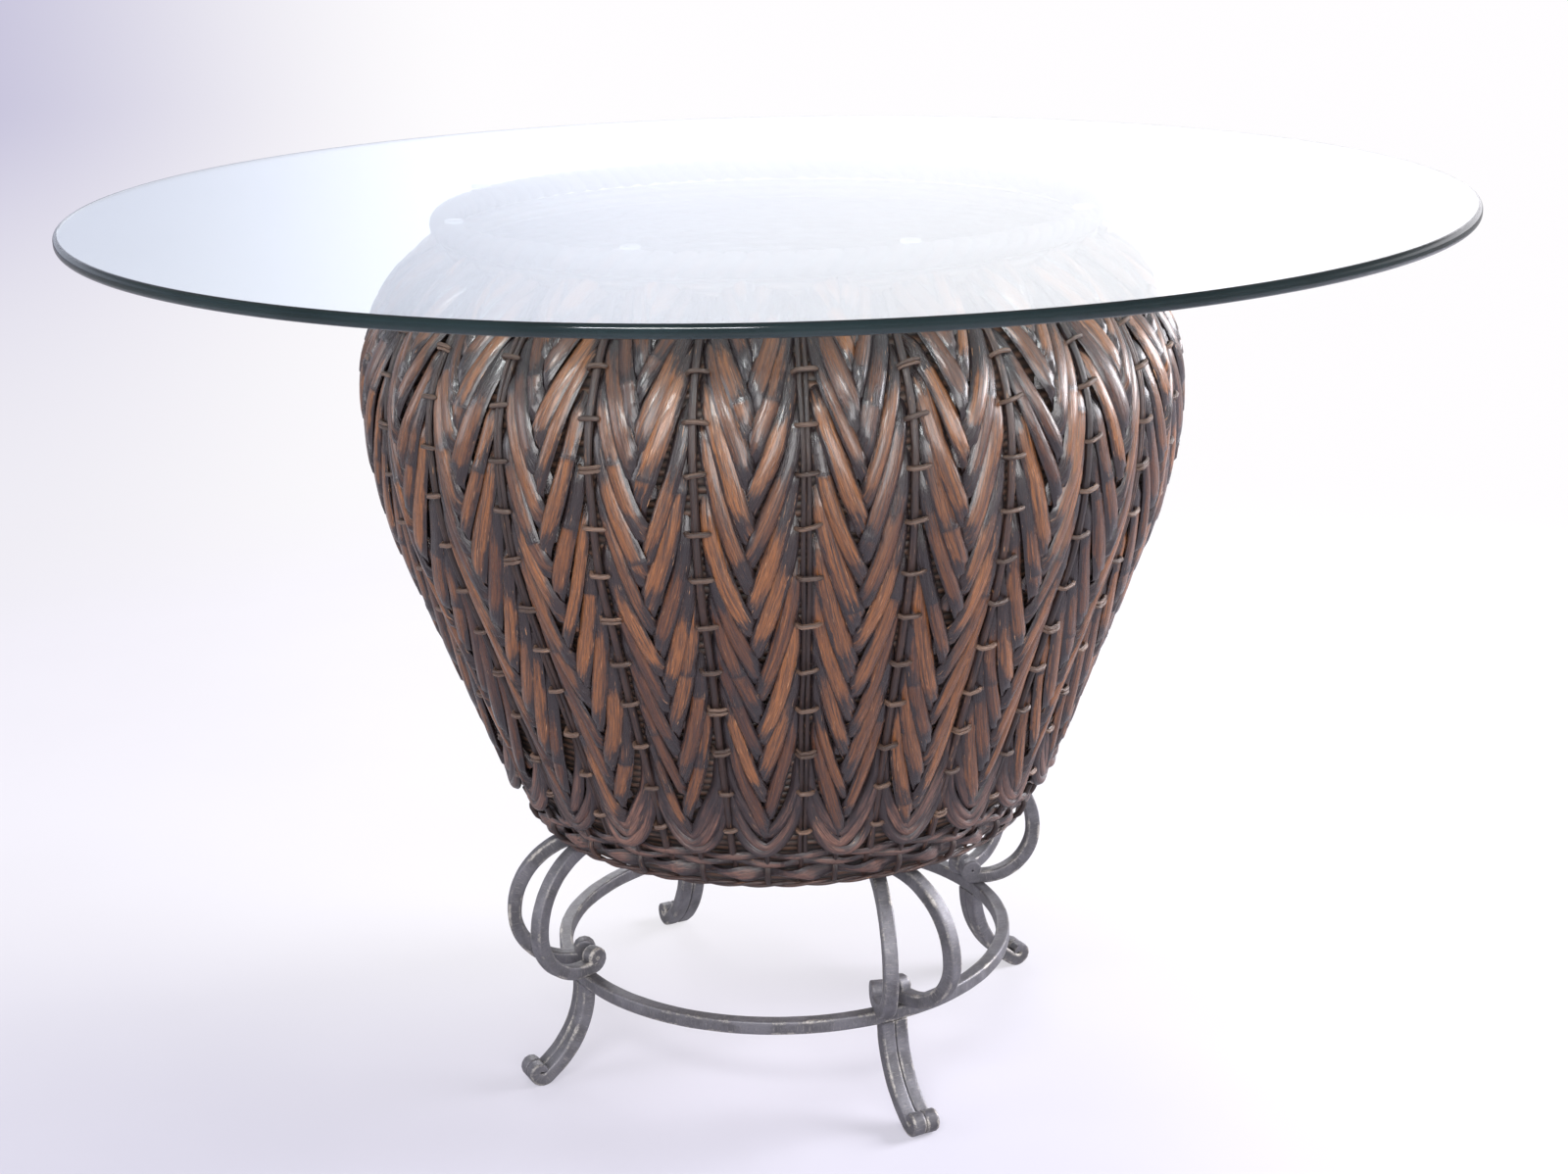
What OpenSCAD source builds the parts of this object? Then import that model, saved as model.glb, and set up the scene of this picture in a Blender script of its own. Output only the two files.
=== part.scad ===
// Round display table: a loose glass top on a woven herringbone basket, which stands on a
// forged base of a hoop, eight leg bars and eight scrolls.
// Origin on the floor at the centre of the base, +Z up, millimetres.

/* [Glass top] */
// Diameter of the round glass
glass_d = 1158; // [1000:2:1300]
// Thickness of the glass
glass_t = 10; // [8:1:19]
// Radius of the rounded edge of the glass
glass_edge = 4; // [1:0.5:4.5]
// Height of the clear pads between rim and glass
pad_h = 3; // [2:0.5:6]
// Diameter of one clear pad
pad_d = 16; // [10:1:20]
// Number of clear pads
pad_count = 8; // [4:1:12]

/* [Basket] */
// Number of bulging columns of strands round the basket
columns = 26; // [22:1:30]
// Angle of the first stake from the front
stake_turn = 3.6; // [0:0.1:10]
// Radius at the widest place, on the crests of the columns
belly_r = 350; // [335:1:370]
// Height of the widest place above the foot of the basket
belly_h = 381; // [360:1:410]
// Radius of the side curve below the widest place
belly_curve = 358; // [320:2:400]
// Radius of the shoulder curve above the widest place
shoulder_curve = 140; // [125:1:150]
// Radius of the wall where the strands start, above the foot band
wall_foot_r = 244; // [238:1:252]
// Depth of the grooves between the columns
groove_depth = 9; // [7:0.5:12]
// Thickness of the inner ply behind the stakes
ply_t = 6; // [4:0.5:9]

/* [Strands and stakes] */
// Lean of the strands from upright
strand_lean = 20; // [18:0.5:24]
// Thickness of a strand
strand_t = 3.6; // [2.5:0.1:4.5]
// Clearance beside each strand
strand_gap = 0.9; // [0.6:0.1:1.5]
// Diameter of a stake
stake_d = 6.6; // [5:0.2:7.4]
// Diameter of the reed in a tie
tie_d = 3.6; // [2.4:0.2:4.4]
// Length of a tie
tie_len = 18; // [12:1:22]
// Clearance between one layer of the weave and the next
weave_gap = 0.6; // [0.4:0.1:0.9]

/* [Rim and foot band] */
// Radius of the rim, to the middle of its roll
rim_r = 272; // [262:1:280]
// Diameter of the roll of the rim
rim_d = 21; // [16:1:24]
// Height of the rim's middle above the shoulder curve
rim_lift = 6; // [5:0.5:9]
// Height of the foot band
band_h = 38; // [34:1:44]
// Radius of the foot band at its bottom edge
band_bottom_r = 220; // [214:1:224]
// Radius of the foot band at its top
band_top_r = 238; // [234:1:240]
// Thickness of the rows of the foot band
row_t = 4; // [3:0.5:5]
// Height of the wide border row
border_h = 14; // [11:1:16]
// Diameter of the reed along the bottom edge
edge_d = 6; // [4:0.5:8]
// Diameter of a short foot stake
foot_stake_d = 5.6; // [4:0.2:6.4]

/* [Basket floor] */
// Thickness of the floor board
floor_t = 10; // [8:1:15]
// Width of the flat ring under the floor
ring_w = 28; // [24:1:34]
// Thickness of the flat ring
ring_t = 5; // [4:0.5:8]
// Diameter of a screw shank
screw_d = 4; // [3:0.5:5]
// Diameter of a screw head
screw_head_d = 9; // [7:0.5:10]
// Height of a screw head
screw_head_h = 2.5; // [2:0.5:4]
// Angle from a leg to the nearest screw
screw_turn = 28; // [24:1:36]

/* [Iron base] */
// Thickness of the square bar
bar = 12; // [10:0.5:14]
// Angle of the first leg from the front
leg_turn = 26.45; // [20:0.05:35]
// Radius of the hoop, to the middle of its bar
hoop_r = 199; // [190:1:206]
// Height of the underside of the hoop
leg_h = 86; // [80:1:110]
// Straight length at the top of a leg bar
leg_top_run = 2; // [1:1:8]
// Angle that a leg bar sweeps outward
leg_sweep = 52; // [45:1:60]
// Straight length before the toe
toe_run = 8; // [4:1:14]
// Radius of the rolled toe, to the middle of the bar
toe_r = 10; // [8:0.5:14]
// Angle that the toe rolls up
toe_curl = 140; // [90:5:150]
// Clearance between the two bars of a leg
leg_gap = 0.4; // [0.2:0.1:1]
// Distance from the middle of a leg to each scroll's seat
scroll_offset = 12.5; // [12:0.5:16]
// Angle that a scroll turns away from its leg
scroll_splay = 18.5; // [10:0.5:19]
// Radius of the lower curve of a scroll, to the middle of the bar
scroll_low = 46; // [40:1:52]
// Radius of the upper curve of a scroll, to the middle of the bar
scroll_high = 70; // [60:1:72]
// Straight end of a scroll under the flat ring
scroll_top_run = 3; // [1:0.5:3]
// Straight seat of a scroll outside the hoop's middle
seat_out = 7; // [5:0.5:9]
// Straight seat of a scroll inside the hoop's middle
seat_in = 4; // [3:0.5:5]
// Radius of the rolled knob at a scroll's foot, to the middle of the bar
knob_r = 7.5; // [7.1:0.1:8]
// Angle that the knob rolls round
knob_curl = 200; // [150:5:220]

/* [Hidden] */
$fn = 96;
leg_count = 4;
rim_seat = 0.3;
pad_seat = 0.2;
glass_seat = 0.05;
screw_gap = 0.15;
// Share of the floor board's thickness that a screw goes into, and how much deeper its hole is
screw_bite = 0.7;
hole_spare = 1;
// A run that joins another is this much slimmer and reaches this far into it
slim = 0.02;
lap = 0.5;
// Cones that follow each curve of the inner ply
ply_steps = 8;
// Extra width of a strand before its sides are cut
strand_spare = 6;
// A strand that bends out by less than this is straight
least_sag = 0.02;
// How far the ties stand out of the bottom of the grooves
tie_clear = 2.5;
first_course = 2;
wall_courses = 12;
ties_per_stake = 11;
course_count = wall_courses + first_course;
column_step = 360 / columns;
half_step = column_step / 2;

// Heights, stacked from the floor up
hoop_top = leg_h + bar;
foot_z = hoop_top + bar + scroll_low + scroll_high;
wall_z = foot_z + band_h;
belly_z = foot_z + belly_h;
floor_z = foot_z + ring_t;

// Centres of the two curves of the wall, as [radius, height]
side_c = [belly_r - belly_curve, belly_z];
shoulder_c = [belly_r - shoulder_curve, belly_z];
rim_z = belly_z + sqrt(pow(shoulder_curve, 2) - pow(rim_r - shoulder_c[0], 2)) + rim_lift;
rim_top = rim_z + rim_d / 2;
glass_z = rim_top + pad_h;

// The straight lower wall runs from its foot to the side curve and touches it
reach = [wall_foot_r, wall_z] - side_c;
cone_len = sqrt(reach * reach - pow(belly_curve, 2));
cone_angle = -atan2(reach[1], reach[0]) - acos(belly_curve / norm(reach));
side_len = belly_curve * cone_angle * PI / 180;
strand_top_r = rim_r + rim_d / 2 + weave_gap;
shoulder_angle = acos((strand_top_r - shoulder_c[0]) / shoulder_curve);
wall_len = cone_len + side_len + shoulder_curve * shoulder_angle * PI / 180;

// Strands, laid in courses up the wall
pitch = wall_len / wall_courses;
groove_half = stake_d / 2 + weave_gap;

// Depths below the crests of the columns
tie_depth = groove_depth - tie_d / 2 - tie_clear;
stake_depth = tie_depth + tie_d / 2 + weave_gap + stake_d / 2;
ply_depth = stake_depth + stake_d / 2 + weave_gap;

// Foot band
band_lean = atan((band_top_r - band_bottom_r) / band_h);
foot_stake_depth = row_t + weave_gap + foot_stake_d / 2;
band_stack = foot_stake_depth + foot_stake_d / 2 + weave_gap;
collar_r = rim_r + ply_t / 2;

// Base
leg_curve = (leg_h - bar / 2 - leg_top_run - toe_run * cos(leg_sweep)
    - toe_r * (1 - sin(leg_sweep))) / sin(leg_sweep);
ring_r = hoop_r + (seat_out + scroll_low - scroll_high) * cos(scroll_splay);

// Point on the crest line at a distance along the wall from its foot, as [radius, height]
function crest(s) =
    s < cone_len
    ? side_c + belly_curve * [cos(cone_angle), -sin(cone_angle)]
        - (cone_len - s) * [sin(cone_angle), cos(cone_angle)]
    : s < cone_len + side_len
    ? side_c + belly_curve * [cos(fall_angle(s)), -sin(fall_angle(s))]
    : shoulder_c + shoulder_curve * [cos(fall_angle(s)), -sin(fall_angle(s))];

// Angle by which the wall's outward face looks down, at a distance along the wall
function fall_angle(s) =
    s < cone_len
    ? cone_angle
    : s < cone_len + side_len
    ? cone_angle - (s - cone_len) / belly_curve * 180 / PI
    : -(s - cone_len - side_len) / shoulder_curve * 180 / PI;

// Point at a depth below the crest line
function below_crest(s, depth) =
    crest(s) - depth * [cos(fall_angle(s)), -sin(fall_angle(s))];

// Half the width of a column between its crest and the groove
function half_width(s) = crest(s)[0] * tan(half_step) - groove_half / cos(half_step);

// Radius of the foot band's outer face, and of a layer inside it, at a height above the foot
function band_r(h, depth = 0) = band_bottom_r + h * tan(band_lean) - depth / cos(band_lean);

function two_digits(n) = str(n < 10 ? "0" : "", n);
function course_name(n) = str("strands_", two_digits(n));
function leg_name(n, side) = str("leg_", n, side < 0 ? "_left" : "_right");
function scroll_name(n, side) = str("scroll_", n, side < 0 ? "_left" : "_right");

// Turns a piece drawn outward along +X to an angle from the front
module at_angle(angle) {
    rotate([0, 0, angle - 90]) children();
}

module at_columns() {
    for (c = [0:columns - 1])
        at_angle(stake_turn + half_step + c * column_step) children();
}

module at_stakes() {
    for (c = [0:columns - 1])
        at_angle(stake_turn + c * column_step) children();
}

// Glass

module glass_top() {
    flat_r = glass_d / 2 - glass_edge;
    color([0.72, 0.85, 0.86, 0.45])
    translate([0, 0, glass_z])
    rotate_extrude() {
        square([flat_r, glass_t]);
        translate([0, glass_edge]) square([glass_d / 2, glass_t - 2 * glass_edge]);
        for (z = [glass_edge, glass_t - glass_edge])
            translate([flat_r, z]) circle(glass_edge);
    }
}

module glass_pads() {
    color([0.85, 0.88, 0.9])
    for (n = [0:pad_count - 1])
        at_angle((n + 0.5) * 360 / pad_count)
        translate([rim_r, 0, rim_top + pad_seat])
        cylinder(h = pad_h - pad_seat - glass_seat, d = pad_d);
}

// Basket

module rim() {
    color([0.27, 0.16, 0.11])
    rotate_extrude() translate([rim_r, rim_z]) circle(d = rim_d);
}

// One face of the inner ply at a depth below the crests, from the foot up to the collar's top
function ply_face(depth) =
    let (
        collar = collar_r + ply_depth - depth,
        turn = acos((collar - shoulder_c[0]) / (shoulder_curve - depth)),
        shoulder_len = shoulder_curve * turn * PI / 180
    )
    concat(
        [for (h = [0, band_h]) [band_r(h, band_stack) + ply_depth - depth, foot_z + h]],
        [below_crest(0, depth)],
        [for (i = [0:ply_steps]) below_crest(cone_len + side_len * i / ply_steps, depth)],
        [for (i = [1:ply_steps])
            below_crest(cone_len + side_len + shoulder_len * i / ply_steps, depth)],
        [[collar, rim_z - rim_d / 2 - rim_seat]]
    );

function backwards(list) = [for (i = [len(list) - 1:-1:0]) list[i]];

// Woven inner layer, which carries the stakes and ends in a collar under the rim
module inner_ply() {
    color([0.2, 0.12, 0.09])
    rotate_extrude()
    polygon(concat(ply_face(ply_depth), backwards(ply_face(ply_depth + ply_t))));
}

// Round section bent to the wall at a depth, from the top of the foot band to the rim
module stake() {
    top_angle = acos((collar_r + stake_d / 2 + weave_gap - shoulder_c[0])
        / (shoulder_curve - stake_depth));
    lap_angle = lap / shoulder_curve * 180 / PI;
    translate([side_c[0], 0, side_c[1]]) {
        rotate([0, cone_angle, 0])
        translate([belly_curve - stake_depth, 0, -cone_len])
        cylinder(h = cone_len + lap, d = stake_d - slim);
        rotate([-90, 0, 0])
        rotate_extrude(angle = cone_angle)
        translate([belly_curve - stake_depth, 0]) circle(d = stake_d);
    }
    translate([shoulder_c[0], 0, shoulder_c[1]])
    rotate([-90, 0, 0])
    rotate([0, 0, -top_angle])
    rotate_extrude(angle = top_angle + lap_angle)
    translate([shoulder_curve - stake_depth, 0]) circle(d = stake_d - slim);
}

module stakes() {
    color([0.23, 0.15, 0.12]) at_stakes() stake();
}

// Short reeds that lash each stake, half a course apart from the strands' tips
module stake_ties() {
    color([0.45, 0.32, 0.22])
    at_stakes()
    for (n = [0:ties_per_stake - 1]) {
        s = (n + 0.5) * pitch;
        place = below_crest(s, tie_depth);
        translate([place[0], 0, place[1]])
        rotate([90, 0, 0])
        cylinder(h = tie_len, d = tie_d, center = true);
    }
}

// Half of a column, cut by the crest plane and by the plane beside the stake
module half_column(inner_r) {
    outer_r = belly_r + 2 * strand_t;
    groove = groove_half / cos(half_step);
    translate([0, 0, wall_z])
    linear_extrude(rim_z - wall_z)
    polygon([
        [inner_r, weave_gap / 2],
        [outer_r, weave_gap / 2],
        [outer_r, outer_r * tan(half_step) - groove],
        [inner_r, inner_r * tan(half_step) - groove]
    ]);
}

// Flat strand, straight or bent outward, with its middle at the origin and its face along +X
module flat_strand(half_len, sag) {
    bent = sag > least_sag;
    radius = bent ? (pow(half_len, 2) + pow(sag, 2)) / (2 * sag) : 1;
    sweep = asin(min(1, half_len / radius));
    width = pitch * sin(strand_lean) + strand_spare;
    if (bent)
        translate([-radius, 0, 0])
        rotate([-90, 0, 0])
        rotate([0, 0, -sweep])
        rotate_extrude(angle = 2 * sweep)
        translate([radius - strand_t, -width / 2]) square([strand_t, width]);
    else
        translate([-strand_t, -width / 2, -half_len]) cube([strand_t, width, 2 * half_len]);
}

// Reach of a strand across its half of the column, from its tip on the crest to the groove
function strand_reach(tip) = half_width(tip + half_width(tip) / 2 / tan(strand_lean));
function strand_middle(tip) = tip + strand_reach(tip) / 2 / tan(strand_lean);
function strand_half_len(tip) =
    strand_reach(tip) / 2 / sin(strand_lean)
    + (pitch * cos(strand_lean) + strand_spare / tan(strand_lean)) / 2 + strand_t;

// End of a strand's middle line on the crest line, at the lower or the upper end
function strand_end(tip, way) =
    crest(strand_middle(tip) + way * strand_half_len(tip) * cos(strand_lean));
function strand_face(tip) =
    let (chord = strand_end(tip, 1) - strand_end(tip, -1)) [chord[1], -chord[0]] / norm(chord);
function strand_sag(tip) =
    (crest(strand_middle(tip)) - strand_end(tip, -1)) * strand_face(tip);

// Lays a piece drawn like a flat strand at its lean on the right of the crest
module lay_strand(tip) {
    across = strand_reach(tip);
    face = strand_face(tip);
    drop = groove_depth + pow(across, 2) * face[0] / (2 * crest(strand_middle(tip))[0]);
    place = (strand_end(tip, -1) + strand_end(tip, 1)) / 2
        + (strand_sag(tip) - drop / 2) * face;
    translate([place[0], across / 2, place[1]])
    rotate([0, -atan2(face[1], face[0]), 0])
    rotate([0, 0, atan(drop / across)])
    rotate([-strand_lean, 0, 0])
    children();
}

// All that lies to one side of the seam between two strands, less half the clearance
module beside_seam(tip, way) {
    lay_strand(tip)
    translate([0, way * (belly_r + strand_gap) / 2, 0]) cube(belly_r, center = true);
}

// One strand from its tip on the crest up to the stake, on the right of the crest
module strand(tip) {
    on_shoulder = strand_middle(tip) > cone_len + side_len;
    intersection() {
        half_column(on_shoulder ? strand_top_r : wall_foot_r / 2);
        lay_strand(tip) flat_strand(strand_half_len(tip), strand_sag(tip));
        beside_seam(tip - pitch / 2, -1);
        beside_seam(tip + pitch / 2, 1);
    }
}

// One course: a strand on each side of every crest, the right one half a course higher
module strand_course(n) {
    tip = (n - first_course - 0.5) * pitch;
    color(n % 2 == 0 ? [0.36, 0.21, 0.14] : [0.30, 0.17, 0.12])
    at_columns() {
        strand(tip + pitch / 2);
        mirror([0, 1, 0]) strand(tip);
    }
}

// Foot band

// Ring that follows the band's slope between two heights above the foot
module band_row(low, high) {
    color([0.33, 0.2, 0.14])
    rotate_extrude()
    polygon([
        [band_r(low), foot_z + low],
        [band_r(high), foot_z + high],
        [band_r(high, row_t), foot_z + high],
        [band_r(low, row_t), foot_z + low]
    ]);
}

border_low = edge_d + weave_gap;
border_high = border_low + border_h;
thin_h = (band_h - weave_gap - border_high) / 2 - weave_gap;

module foot_border() {
    band_row(border_low, border_high);
}

module foot_row_lower() {
    band_row(border_high + weave_gap, border_high + weave_gap + thin_h);
}

module foot_row_upper() {
    band_row(band_h - weave_gap - thin_h, band_h - weave_gap);
}

module foot_edge() {
    color([0.22, 0.14, 0.1])
    rotate_extrude()
    translate([band_r(edge_d / 2, edge_d / 2), foot_z + edge_d / 2]) circle(d = edge_d);
}

// Two short stakes to each column, behind the rows
module foot_stakes() {
    length = (band_h - 2 * weave_gap - border_low) / cos(band_lean);
    color([0.2, 0.13, 0.1])
    for (c = [0:2 * columns - 1])
        at_angle(stake_turn + c * half_step)
        translate([band_r(border_low, foot_stake_depth), 0, foot_z + border_low])
        rotate([0, band_lean, 0])
        cylinder(h = length, d = foot_stake_d);
}

// Floor of the basket

floor_r = band_r(ring_t, band_stack) - ply_t - weave_gap;

module at_screws() {
    for (n = [0:leg_count - 1], side = [-1, 1])
        at_angle(leg_turn + n * 360 / leg_count + side * screw_turn)
        translate([ring_r, 0, 0]) children();
}

module basket_floor() {
    color([0.5, 0.38, 0.27])
    difference() {
        translate([0, 0, floor_z]) cylinder(h = floor_t, r = floor_r);
        at_screws()
        translate([0, 0, floor_z - hole_spare])
        cylinder(h = floor_t * screw_bite + 2 * hole_spare, d = screw_d + 2 * screw_gap);
    }
}

module floor_ring() {
    color([0.25, 0.25, 0.26])
    difference() {
        translate([0, 0, foot_z]) cylinder(h = ring_t, r = ring_r + ring_w / 2);
        translate([0, 0, foot_z - hole_spare])
        cylinder(h = ring_t + 2 * hole_spare, r = ring_r - ring_w / 2);
        at_screws()
        translate([0, 0, foot_z - hole_spare])
        cylinder(h = ring_t + 2 * hole_spare, d = screw_d + 2 * screw_gap);
    }
}

module floor_screws() {
    shank = ring_t + floor_t * screw_bite;
    color([0.55, 0.55, 0.56])
    at_screws() {
        translate([0, 0, foot_z - screw_head_h]) cylinder(h = screw_head_h, d = screw_head_d);
        translate([0, 0, foot_z]) cylinder(h = shank, d = screw_d);
    }
}

// Iron base

iron = [0.24, 0.24, 0.25];

// Square bar that starts at the origin towards +X and follows its runs, each a straight
// [length, 0] or a bend [radius, angle] towards +Z
module bar_run(runs, i = 0) {
    if (i < len(runs)) {
        size = runs[i][0];
        turn = runs[i][1];
        if (turn == 0) {
            before = i > 0 ? lap : 0;
            after = i < len(runs) - 1 ? lap : 0;
            side = bar - slim;
            translate([-before, -side / 2, -side / 2])
            cube([before + size + after, side, side]);
            translate([size, 0, 0]) bar_run(runs, i + 1);
        } else {
            translate([0, 0, size])
            rotate([90, 0, 0])
            rotate([0, 0, -90])
            rotate_extrude(angle = turn)
            translate([size - bar / 2, -bar / 2]) square(bar);
            translate([0, 0, size])
            rotate([0, -turn, 0])
            translate([0, 0, -size])
            bar_run(runs, i + 1);
        }
    }
}

module base_hoop() {
    color(iron)
    rotate_extrude() translate([hoop_r - bar / 2, leg_h]) square(bar);
}

// One of the two bars of a leg, from under the hoop down to its rolled toe
module leg_bar(n, side) {
    color(iron)
    at_angle(leg_turn + (n - 1) * 360 / leg_count)
    translate([hoop_r, side * (bar + leg_gap) / 2, leg_h])
    rotate([0, 90, 0])
    bar_run([[leg_top_run, 0], [leg_curve, leg_sweep], [toe_run, 0], [toe_r, toe_curl]]);
}

// One of the two scrolls that rise from a leg: a knob, a seat on the hoop, and the long C
module scroll(n, side) {
    color(iron)
    at_angle(leg_turn + (n - 1) * 360 / leg_count)
    translate([hoop_r, side * scroll_offset, hoop_top + bar / 2])
    rotate([0, 0, side * scroll_splay]) {
        bar_run([[seat_out, 0], [scroll_low, 90], [scroll_high, 90], [scroll_top_run, 0]]);
        mirror([1, 0, 0]) bar_run([[seat_in, 0], [knob_r, knob_curl]]);
    }
}

glass_top();
glass_pads();
rim();
inner_ply();
stakes();
stake_ties();
for (n = [1:course_count])
    strand_course(n);
foot_stakes();
foot_row_upper();
foot_row_lower();
foot_border();
foot_edge();
basket_floor();
floor_ring();
floor_screws();
base_hoop();
for (n = [1:leg_count], side = [-1, 1])
    leg_bar(n, side);
for (n = [1:leg_count], side = [-1, 1])
    scroll(n, side);
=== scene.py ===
# Dresses the display table: a loose glass top, a herringbone basket and a forged iron base.
# Metres, +Z up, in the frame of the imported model. Wall sizes are in millimetres, as built.
import bpy
import math
import random
import numpy as np
from mathutils import Matrix, Vector, noise


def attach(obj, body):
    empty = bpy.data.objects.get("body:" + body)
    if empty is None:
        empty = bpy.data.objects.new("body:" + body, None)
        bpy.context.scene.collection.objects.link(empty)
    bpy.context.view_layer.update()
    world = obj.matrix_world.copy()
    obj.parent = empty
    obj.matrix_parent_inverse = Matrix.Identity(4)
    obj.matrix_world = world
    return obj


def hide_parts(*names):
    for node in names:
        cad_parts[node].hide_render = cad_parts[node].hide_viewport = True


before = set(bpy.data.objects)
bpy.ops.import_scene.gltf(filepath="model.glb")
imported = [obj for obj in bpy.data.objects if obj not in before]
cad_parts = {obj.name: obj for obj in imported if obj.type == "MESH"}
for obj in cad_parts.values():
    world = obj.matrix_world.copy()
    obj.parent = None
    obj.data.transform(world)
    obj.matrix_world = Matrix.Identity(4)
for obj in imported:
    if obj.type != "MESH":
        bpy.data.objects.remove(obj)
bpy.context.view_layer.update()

MM = 0.001
TAU = 2 * math.pi
SEED = 26


def add_object(name, data):
    made = bpy.data.objects.new(name, data)
    bpy.context.scene.collection.objects.link(made)
    return made


# ---- camera ----

CAMERA_PLACE = (-0.0121, -2.1148, 1.0566)
CAMERA_YAW = 0.0088
CAMERA_PITCH = 0.2939
CAMERA_ROLL = -0.0221
CAMERA_LENS = 57.79
CAMERA_REACH = 200
SENSOR_WIDTH = 36.0


def make_camera():
    forward = Vector((math.sin(CAMERA_YAW) * math.cos(CAMERA_PITCH),
                      math.cos(CAMERA_YAW) * math.cos(CAMERA_PITCH),
                      -math.sin(CAMERA_PITCH)))
    level = Vector((math.cos(CAMERA_YAW), -math.sin(CAMERA_YAW), 0))
    above = level.cross(forward)
    right = math.cos(CAMERA_ROLL) * level + math.sin(CAMERA_ROLL) * above
    top = -math.sin(CAMERA_ROLL) * level + math.cos(CAMERA_ROLL) * above
    data = bpy.data.cameras.new("photo_camera")
    data.lens = CAMERA_LENS
    data.sensor_width = SENSOR_WIDTH
    data.sensor_fit = "HORIZONTAL"
    data.clip_end = CAMERA_REACH
    camera = add_object("photo_camera", data)
    turn = Matrix((right, top, -forward)).transposed().to_4x4()
    camera.matrix_world = Matrix.Translation(CAMERA_PLACE) @ turn
    bpy.context.scene.camera = camera


# ---- node groups and materials ----

class Wiring:
    """Short calls that add a node to a tree and join it up."""

    def __init__(self, tree):
        self.tree = tree

    def put(self, socket, value):
        """Joins a node or socket to the socket, or gives it a plain value."""
        if isinstance(value, bpy.types.Node):
            value = value.outputs[0]
        if isinstance(value, bpy.types.NodeSocket):
            self.tree.links.new(value, socket)
        else:
            socket.default_value = value

    def node(self, kind, given=(), **settings):
        """A new node; given pairs the number or name of an input with what goes into it."""
        made = self.tree.nodes.new("ShaderNode" + kind)
        for key, value in settings.items():
            setattr(made, key, value)
        for key, value in dict(given).items():
            self.put(made.inputs[key], value)
        return made

    def math(self, operation, *values, clamp=False):
        made = self.node("Math", enumerate(values), operation=operation, use_clamp=clamp)
        return made.outputs[0]

    def plus(self, a, b):
        return self.math("ADD", a, b)

    def times(self, a, b):
        return self.math("MULTIPLY", a, b)

    def line(self, value, slope, start):
        return self.math("MULTIPLY_ADD", value, slope, start)

    def larger(self, a, b):
        return self.math("MAXIMUM", a, b)

    def fit(self, value, low, high, to_low=0.0, to_high=1.0):
        """A smooth step: to_low where the value is low, to_high where it is high."""
        given = enumerate((value, low, high, to_low, to_high))
        return self.node("MapRange", given, interpolation_type="SMOOTHSTEP").outputs[0]

    def mix(self, factor, a, b):
        """A colour between two colours."""
        return self.node("Mix", {0: factor, 6: a, 7: b}, data_type="RGBA").outputs[2]

    def blend(self, factor, a, b):
        """A shader between two shaders."""
        return self.node("MixShader", enumerate((factor, a, b)))

    def noise(self, vector, scale, detail=3.0, roughness=0.5, stretch=None):
        if stretch:
            vector = self.node("Mapping", {"Vector": vector, "Scale": stretch})
        given = {"Vector": vector, "Scale": scale, "Detail": detail, "Roughness": roughness}
        return self.node("TexNoise", given).outputs["Fac"]

    def attribute(self, name):
        return self.node("Attribute", attribute_name=name).outputs["Fac"]

    def place(self):
        return self.node("TexCoord").outputs["Object"]

    def split(self, vector):
        return self.node("SeparateXYZ", {0: vector}).outputs

    def combine(self, *values):
        return self.node("CombineXYZ", enumerate(values)).outputs[0]

    def length(self, vector):
        return self.node("VectorMath", {0: vector}, operation="LENGTH").outputs["Value"]

    def bump(self, height, strength, distance):
        return self.node("Bump", {"Strength": strength, "Distance": distance, "Height": height})

    def rays(self):
        return self.node("LightPath").outputs

    def seen(self, rays):
        """Whether a ray comes from the camera, straight or through glass."""
        return self.larger(rays["Is Camera Ray"], rays["Is Transmission Ray"])


def new_group(name, inputs):
    """A surface group, the sockets that bring its inputs, and those that take its results."""
    group = bpy.data.node_groups.new(name, "ShaderNodeTree")
    for label, value in inputs.items():
        kind = "NodeSocketColor" if isinstance(value, tuple) else "NodeSocketFloat"
        group.interface.new_socket(label, in_out="INPUT", socket_type=kind).default_value = value
    for label, kind in (("Color", "Color"), ("Roughness", "Float"), ("Height", "Float")):
        group.interface.new_socket(label, in_out="OUTPUT", socket_type="NodeSocket" + kind)
    given = group.nodes.new("NodeGroupInput").outputs
    return group, given, group.nodes.new("NodeGroupOutput").inputs


# Noises in the cane's grain: detail, roughness, stretch across, along and from strand to strand
CANE_NOISES = {
    "fibre": (4.0, 0.7, (2300.0, 60.0, 9.0)),
    "lines": (3.0, 0.65, (1000.0, 16.0, 7.0)),
    "streak": (2.0, 0.5, (380.0, 11.0, 5.0)),
    "blotch": (3.0, 0.6, (130.0, 42.0, 3.0)),
    "drip": (3.0, 0.6, (560.0, 20.0, 4.0)),
    "nick": (2.0, 0.6, (1700.0, 75.0, 6.0)),
}


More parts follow.
